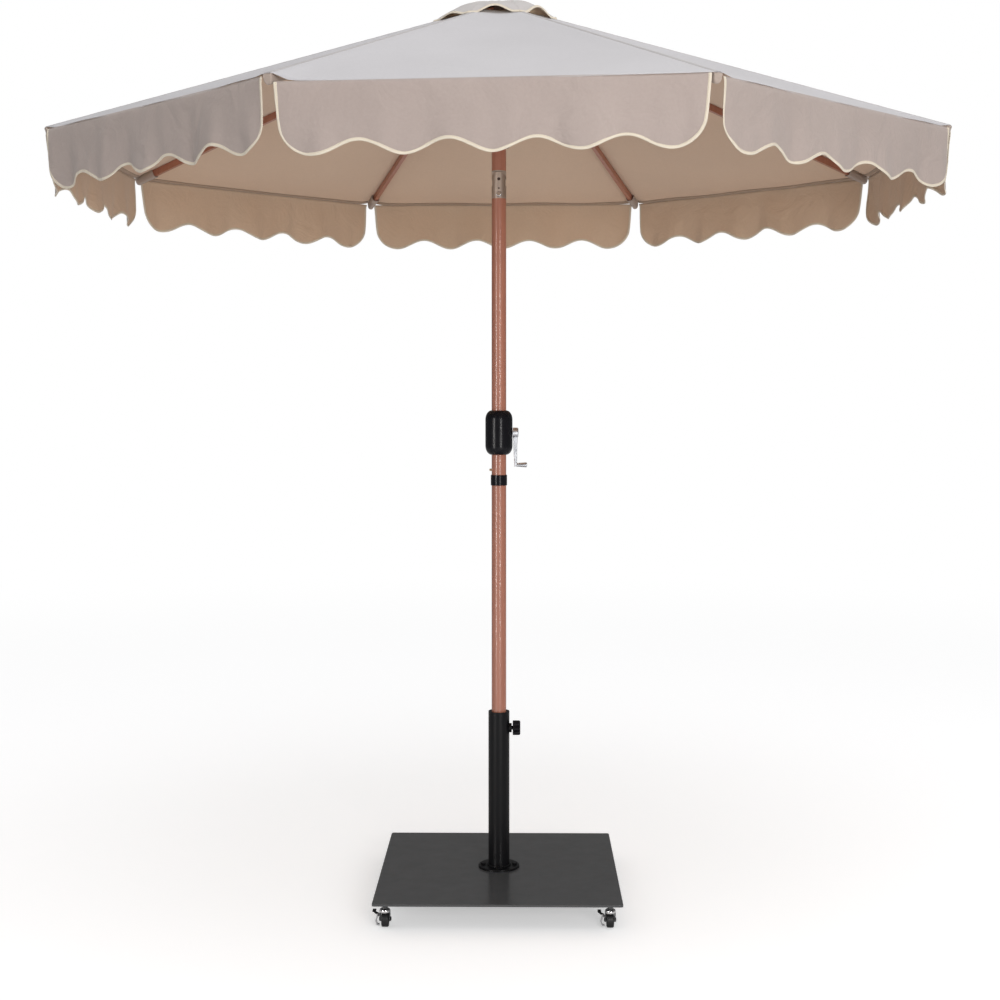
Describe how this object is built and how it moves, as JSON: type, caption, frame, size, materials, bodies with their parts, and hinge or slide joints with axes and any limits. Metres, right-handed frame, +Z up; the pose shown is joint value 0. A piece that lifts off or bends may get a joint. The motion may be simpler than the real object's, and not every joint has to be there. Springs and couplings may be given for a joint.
{
  "type": "patio umbrella with base",
  "caption": "Octagonal market umbrella with scalloped valance, vent cap, crank lift and tilt joint, standing in a square steel base on casters.",
  "frame": {"origin": "on the ground, on the pole's axis, at the middle of the base's footprint", "axes": "+Z up the pole; the crank handle and the clamp knob are on the +X side; the tilt button faces -Y, the front"},
  "size_m": [2.1192, 2.1192, 2.3179],
  "materials": {
    "frame_metal": "satin copper-brown powder coat",
    "cover_cloth": "matt woven polyester, light taupe",
    "valance_cloth": "matt woven polyester, light taupe, cream binding",
    "dark_plastic": "moulded, fine grain",
    "grey_casting": "satin die casting",
    "bright_plating": "bright plated",
    "black_plastic": "satin moulded",
    "pale_plastic": "moulded",
    "brass_button": "polished",
    "black_powder": "satin powder coat",
    "wheel_black": "satin moulded"
  },
  "bodies": {
    "base": {"base_plate": "black_powder", "base_stem": "black_powder"},
    "pole": {"lower_pole": "frame_metal", "pole_collar": "black_plastic", "main_pole": "frame_metal", "crank_housing_front": "black_plastic", "crank_housing_back": "black_plastic", "tilt_socket": "grey_casting"},
    "canopy_head": {"upper_pole": "frame_metal", "tilt_head": "grey_casting", "top_hub": "dark_plastic", "vent_cap": "cover_cloth"},
    "rib_1": {"rib_1": "frame_metal"},
    "strut_1": {"strut_1": "frame_metal"},
    "canopy_panel_1": {"canopy_panel_1": "cover_cloth"},
    "valance_1": {"valance_1": "valance_cloth"},
    "rib_2": {"rib_2": "frame_metal"},
    "strut_2": {"strut_2": "frame_metal"},
    "canopy_panel_2": {"canopy_panel_2": "cover_cloth"},
    "valance_2": {"valance_2": "valance_cloth"},
    "rib_3": {"rib_3": "frame_metal"},
    "strut_3": {"strut_3": "frame_metal"},
    "canopy_panel_3": {"canopy_panel_3": "cover_cloth"},
    "valance_3": {"valance_3": "valance_cloth"},
    "rib_4": {"rib_4": "frame_metal"},
    "strut_4": {"strut_4": "frame_metal"},
    "canopy_panel_4": {"canopy_panel_4": "cover_cloth"},
    "valance_4": {"valance_4": "valance_cloth"},
    "rib_5": {"rib_5": "frame_metal"},
    "strut_5": {"strut_5": "frame_metal"},
    "canopy_panel_5": {"canopy_panel_5": "cover_cloth"},
    "valance_5": {"valance_5": "valance_cloth"},
    "rib_6": {"rib_6": "frame_metal"},
    "strut_6": {"strut_6": "frame_metal"},
    "canopy_panel_6": {"canopy_panel_6": "cover_cloth"},
    "valance_6": {"valance_6": "valance_cloth"},
    "rib_7": {"rib_7": "frame_metal"},
    "strut_7": {"strut_7": "frame_metal"},
    "canopy_panel_7": {"canopy_panel_7": "cover_cloth"},
    "valance_7": {"valance_7": "valance_cloth"},
    "rib_8": {"rib_8": "frame_metal"},
    "strut_8": {"strut_8": "frame_metal"},
    "canopy_panel_8": {"canopy_panel_8": "cover_cloth"},
    "valance_8": {"valance_8": "valance_cloth"},
    "runner": {"runner": "dark_plastic"},
    "crank": {"crank_handle": "bright_plating", "winding_drum": "pale_plastic"},
    "tilt_button": {"tilt_button": "bright_plating"},
    "snap_button": {"snap_button": "brass_button"},
    "clamp_knob": {"clamp_knob": "black_plastic"},
    "caster_fork_1": {"caster_fork_1": "bright_plating"},
    "caster_wheel_1": {"caster_wheel_1": "wheel_black"},
    "brake_lever_1": {"brake_lever_1": "bright_plating"},
    "caster_fork_2": {"caster_fork_2": "bright_plating"},
    "caster_wheel_2": {"caster_wheel_2": "wheel_black"},
    "caster_fork_3": {"caster_fork_3": "bright_plating"},
    "caster_wheel_3": {"caster_wheel_3": "wheel_black"},
    "brake_lever_3": {"brake_lever_3": "bright_plating"},
    "caster_fork_4": {"caster_fork_4": "bright_plating"},
    "caster_wheel_4": {"caster_wheel_4": "wheel_black"}
  },
  "joints": [
    {"name": "pole_turn", "type": "hinge", "parent": "base", "child": "pole", "pos_m": [0, 0, 0.474], "axis": [0, 0, 1], "continuous": true},
    {"name": "tilt", "type": "hinge", "parent": "pole", "child": "canopy_head", "pos_m": [0, 0, 1.863], "axis": [0, 1, 0], "range_deg": [-30, 0]},
    {"name": "canopy_fold", "type": "hinge", "parent": "canopy_head", "child": "rib_1", "pos_m": [0.03696, 0.01531, 2.29648], "axis": [-0.3827, 0.9239, 0], "range_deg": [0, 66], "deforming": ["canopy_panel_1", "canopy_panel_2", "canopy_panel_3", "canopy_panel_4", "canopy_panel_5", "canopy_panel_6", "canopy_panel_7", "canopy_panel_8", "valance_1", "valance_2", "valance_3", "valance_4", "valance_5", "valance_6", "valance_7", "valance_8", "vent_cap"]},
    {"name": "strut_1_hinge", "type": "hinge", "parent": "rib_1", "child": "strut_1", "pos_m": [0.40731, 0.16871, 2.13986], "axis": [-0.3827, 0.9239, 0], "range_deg": [-133, 0]},
    {"name": "panel_1_hinge", "type": "hinge", "parent": "canopy_head", "child": "canopy_panel_1", "pos_m": [0.02613, 0.02613, 2.29648], "axis": [-0.7071, 0.7071, 0], "range_deg": [0, 65.5]},
    {"name": "valance_1_hinge", "type": "hinge", "parent": "canopy_panel_1", "child": "valance_1", "pos_m": [0.74889, 0.74889, 1.929], "axis": [-0.7071, 0.7071, 0], "range_deg": [-65.5, 0]},
    {"name": "rib_2_hinge", "type": "hinge", "parent": "canopy_head", "child": "rib_2", "pos_m": [0.01531, 0.03696, 2.29648], "axis": [-0.9239, 0.3827, 0], "range_deg": [0, 66]},
    {"name": "strut_2_hinge", "type": "hinge", "parent": "rib_2", "child": "strut_2", "pos_m": [0.16871, 0.40731, 2.13986], "axis": [-0.9239, 0.3827, 0], "range_deg": [-133, 0]},
    {"name": "panel_2_hinge", "type": "hinge", "parent": "canopy_head", "child": "canopy_panel_2", "pos_m": [0, 0.03696, 2.29648], "axis": [-1, 0, 0], "range_deg": [0, 65.5]},
    {"name": "valance_2_hinge", "type": "hinge", "parent": "canopy_panel_2", "child": "valance_2", "pos_m": [0, 1.05909, 1.929], "axis": [-1, 0, 0], "range_deg": [-65.5, 0]},
    {"name": "rib_3_hinge", "type": "hinge", "parent": "canopy_head", "child": "rib_3", "pos_m": [-0.01531, 0.03696, 2.29648], "axis": [-0.9239, -0.3827, 0], "range_deg": [0, 66]},
    {"name": "strut_3_hinge", "type": "hinge", "parent": "rib_3", "child": "strut_3", "pos_m": [-0.16871, 0.40731, 2.13986], "axis": [-0.9239, -0.3827, 0], "range_deg": [-133, 0]},
    {"name": "panel_3_hinge", "type": "hinge", "parent": "canopy_head", "child": "canopy_panel_3", "pos_m": [-0.02613, 0.02613, 2.29648], "axis": [-0.7071, -0.7071, 0], "range_deg": [0, 65.5]},
    {"name": "valance_3_hinge", "type": "hinge", "parent": "canopy_panel_3", "child": "valance_3", "pos_m": [-0.74889, 0.74889, 1.929], "axis": [-0.7071, -0.7071, 0], "range_deg": [-65.5, 0]},
    {"name": "rib_4_hinge", "type": "hinge", "parent": "canopy_head", "child": "rib_4", "pos_m": [-0.03696, 0.01531, 2.29648], "axis": [-0.3827, -0.9239, 0], "range_deg": [0, 66]},
    {"name": "strut_4_hinge", "type": "hinge", "parent": "rib_4", "child": "strut_4", "pos_m": [-0.40731, 0.16871, 2.13986], "axis": [-0.3827, -0.9239, 0], "range_deg": [-133, 0]},
    {"name": "panel_4_hinge", "type": "hinge", "parent": "canopy_head", "child": "canopy_panel_4", "pos_m": [-0.03696, 0, 2.29648], "axis": [0, -1, 0], "range_deg": [0, 65.5]},
    {"name": "valance_4_hinge", "type": "hinge", "parent": "canopy_panel_4", "child": "valance_4", "pos_m": [-1.05909, 0, 1.929], "axis": [0, -1, 0], "range_deg": [-65.5, 0]},
    {"name": "rib_5_hinge", "type": "hinge", "parent": "canopy_head", "child": "rib_5", "pos_m": [-0.03696, -0.01531, 2.29648], "axis": [0.3827, -0.9239, 0], "range_deg": [0, 66]},
    {"name": "strut_5_hinge", "type": "hinge", "parent": "rib_5", "child": "strut_5", "pos_m": [-0.40731, -0.16871, 2.13986], "axis": [0.3827, -0.9239, 0], "range_deg": [-133, 0]},
    {"name": "panel_5_hinge", "type": "hinge", "parent": "canopy_head", "child": "canopy_panel_5", "pos_m": [-0.02613, -0.02613, 2.29648], "axis": [0.7071, -0.7071, 0], "range_deg": [0, 65.5]},
    {"name": "valance_5_hinge", "type": "hinge", "parent": "canopy_panel_5", "child": "valance_5", "pos_m": [-0.74889, -0.74889, 1.929], "axis": [0.7071, -0.7071, 0], "range_deg": [-65.5, 0]},
    {"name": "rib_6_hinge", "type": "hinge", "parent": "canopy_head", "child": "rib_6", "pos_m": [-0.01531, -0.03696, 2.29648], "axis": [0.9239, -0.3827, 0], "range_deg": [0, 66]},
    {"name": "strut_6_hinge", "type": "hinge", "parent": "rib_6", "child": "strut_6", "pos_m": [-0.16871, -0.40731, 2.13986], "axis": [0.9239, -0.3827, 0], "range_deg": [-133, 0]},
    {"name": "panel_6_hinge", "type": "hinge", "parent": "canopy_head", "child": "canopy_panel_6", "pos_m": [0, -0.03696, 2.29648], "axis": [1, 0, 0], "range_deg": [0, 65.5]},
    {"name": "valance_6_hinge", "type": "hinge", "parent": "canopy_panel_6", "child": "valance_6", "pos_m": [0, -1.05909, 1.929], "axis": [1, 0, 0], "range_deg": [-65.5, 0]},
    {"name": "rib_7_hinge", "type": "hinge", "parent": "canopy_head", "child": "rib_7", "pos_m": [0.01531, -0.03696, 2.29648], "axis": [0.9239, 0.3827, 0], "range_deg": [0, 66]},
    {"name": "strut_7_hinge", "type": "hinge", "parent": "rib_7", "child": "strut_7", "pos_m": [0.16871, -0.40731, 2.13986], "axis": [0.9239, 0.3827, 0], "range_deg": [-133, 0]},
    {"name": "panel_7_hinge", "type": "hinge", "parent": "canopy_head", "child": "canopy_panel_7", "pos_m": [0.02613, -0.02613, 2.29648], "axis": [0.7071, 0.7071, 0], "range_deg": [0, 65.5]},
    {"name": "valance_7_hinge", "type": "hinge", "parent": "canopy_panel_7", "child": "valance_7", "pos_m": [0.74889, -0.74889, 1.929], "axis": [0.7071, 0.7071, 0], "range_deg": [-65.5, 0]},
    {"name": "rib_8_hinge", "type": "hinge", "parent": "canopy_head", "child": "rib_8", "pos_m": [0.03696, -0.01531, 2.29648], "axis": [0.3827, 0.9239, 0], "range_deg": [0, 66]},
    {"name": "strut_8_hinge", "type": "hinge", "parent": "rib_8", "child": "strut_8", "pos_m": [0.40731, -0.16871, 2.13986], "axis": [0.3827, 0.9239, 0], "range_deg": [-133, 0]},
    {"name": "panel_8_hinge", "type": "hinge", "parent": "canopy_head", "child": "canopy_panel_8", "pos_m": [0.03696, 0, 2.29648], "axis": [0, 1, 0], "range_deg": [0, 65.5]},
    {"name": "valance_8_hinge", "type": "hinge", "parent": "canopy_panel_8", "child": "valance_8", "pos_m": [1.05909, 0, 1.929], "axis": [0, 1, 0], "range_deg": [-65.5, 0]},
    {"name": "runner_carry", "type": "hinge", "parent": "strut_1", "child": "runner", "pos_m": [0.03696, 0.01531, 1.98324], "axis": [-0.3827, 0.9239, 0], "range_deg": [0, 67]},
    {"name": "crank_turn", "type": "hinge", "parent": "pole", "child": "crank", "pos_m": [0, 0, 1.202], "axis": [1, 0, 0], "range_deg": [0, 2521]},
    {"name": "tilt_button_press", "type": "slide", "parent": "pole", "child": "tilt_button", "axis": [0, 1, 0], "range_m": [0, 0.004], "stiffness_N_per_m": 600, "springref_m": -0.004},
    {"name": "snap_button_press", "type": "slide", "parent": "pole", "child": "snap_button", "axis": [1, 0, 0], "range_m": [0, 0.006], "stiffness_N_per_m": 500, "springref_m": -0.004},
    {"name": "clamp_knob_turn", "type": "hinge", "parent": "base", "child": "clamp_knob", "pos_m": [0.03, 0, 0.43], "axis": [1, 0, 0], "range_deg": [-720, 0]},
    {"name": "caster_1_swivel", "type": "hinge", "parent": "base", "child": "caster_fork_1", "pos_m": [-0.275, -0.275, 0.045], "axis": [0, 0, 1], "continuous": true},
    {"name": "caster_1_roll", "type": "hinge", "parent": "caster_fork_1", "child": "caster_wheel_1", "pos_m": [-0.275, -0.263, 0.019], "axis": [1, 0, 0], "continuous": true},
    {"name": "brake_1_press", "type": "hinge", "parent": "caster_fork_1", "child": "brake_lever_1", "pos_m": [-0.2917, -0.263, 0.03], "axis": [0, -1, 0], "range_deg": [0, 10]},
    {"name": "caster_2_swivel", "type": "hinge", "parent": "base", "child": "caster_fork_2", "pos_m": [-0.275, 0.275, 0.045], "axis": [0, 0, 1], "continuous": true},
    {"name": "caster_2_roll", "type": "hinge", "parent": "caster_fork_2", "child": "caster_wheel_2", "pos_m": [-0.275, 0.287, 0.019], "axis": [1, 0, 0], "continuous": true},
    {"name": "caster_3_swivel", "type": "hinge", "parent": "base", "child": "caster_fork_3", "pos_m": [0.275, -0.275, 0.045], "axis": [0, 0, 1], "continuous": true},
    {"name": "caster_3_roll", "type": "hinge", "parent": "caster_fork_3", "child": "caster_wheel_3", "pos_m": [0.275, -0.263, 0.019], "axis": [1, 0, 0], "continuous": true},
    {"name": "brake_3_press", "type": "hinge", "parent": "caster_fork_3", "child": "brake_lever_3", "pos_m": [0.2583, -0.263, 0.03], "axis": [0, -1, 0], "range_deg": [0, 10]},
    {"name": "caster_4_swivel", "type": "hinge", "parent": "base", "child": "caster_fork_4", "pos_m": [0.275, 0.275, 0.045], "axis": [0, 0, 1], "continuous": true},
    {"name": "caster_4_roll", "type": "hinge", "parent": "caster_fork_4", "child": "caster_wheel_4", "pos_m": [0.275, 0.287, 0.019], "axis": [1, 0, 0], "continuous": true}
  ],
  "couplings": [
    {"joint": "strut_1_hinge", "follows": "canopy_fold", "ratio": -2},
    {"joint": "panel_1_hinge", "follows": "canopy_fold", "ratio": 0.98404},
    {"joint": "valance_1_hinge", "follows": "canopy_fold", "ratio": -0.98404},
    {"joint": "rib_2_hinge", "follows": "canopy_fold", "ratio": 1},
    {"joint": "strut_2_hinge", "follows": "canopy_fold", "ratio": -2},
    {"joint": "panel_2_hinge", "follows": "canopy_fold", "ratio": 0.98404},
    {"joint": "valance_2_hinge", "follows": "canopy_fold", "ratio": -0.98404},
    {"joint": "rib_3_hinge", "follows": "canopy_fold", "ratio": 1},
    {"joint": "strut_3_hinge", "follows": "canopy_fold", "ratio": -2},
    {"joint": "panel_3_hinge", "follows": "canopy_fold", "ratio": 0.98404},
    {"joint": "valance_3_hinge", "follows": "canopy_fold", "ratio": -0.98404},
    {"joint": "rib_4_hinge", "follows": "canopy_fold", "ratio": 1},
    {"joint": "strut_4_hinge", "follows": "canopy_fold", "ratio": -2},
    {"joint": "panel_4_hinge", "follows": "canopy_fold", "ratio": 0.98404},
    {"joint": "valance_4_hinge", "follows": "canopy_fold", "ratio": -0.98404},
    {"joint": "rib_5_hinge", "follows": "canopy_fold", "ratio": 1},
    {"joint": "strut_5_hinge", "follows": "canopy_fold", "ratio": -2},
    {"joint": "panel_5_hinge", "follows": "canopy_fold", "ratio": 0.98404},
    {"joint": "valance_5_hinge", "follows": "canopy_fold", "ratio": -0.98404},
    {"joint": "rib_6_hinge", "follows": "canopy_fold", "ratio": 1},
    {"joint": "strut_6_hinge", "follows": "canopy_fold", "ratio": -2},
    {"joint": "panel_6_hinge", "follows": "canopy_fold", "ratio": 0.98404},
    {"joint": "valance_6_hinge", "follows": "canopy_fold", "ratio": -0.98404},
    {"joint": "rib_7_hinge", "follows": "canopy_fold", "ratio": 1},
    {"joint": "strut_7_hinge", "follows": "canopy_fold", "ratio": -2},
    {"joint": "panel_7_hinge", "follows": "canopy_fold", "ratio": 0.98404},
    {"joint": "valance_7_hinge", "follows": "canopy_fold", "ratio": -0.98404},
    {"joint": "rib_8_hinge", "follows": "canopy_fold", "ratio": 1},
    {"joint": "strut_8_hinge", "follows": "canopy_fold", "ratio": -2},
    {"joint": "panel_8_hinge", "follows": "canopy_fold", "ratio": 0.98404},
    {"joint": "valance_8_hinge", "follows": "canopy_fold", "ratio": -0.98404},
    {"joint": "runner_carry", "follows": "canopy_fold", "ratio": 1},
    {"joint": "crank_turn", "follows": "canopy_fold", "ratio": 38.182}
  ]
}
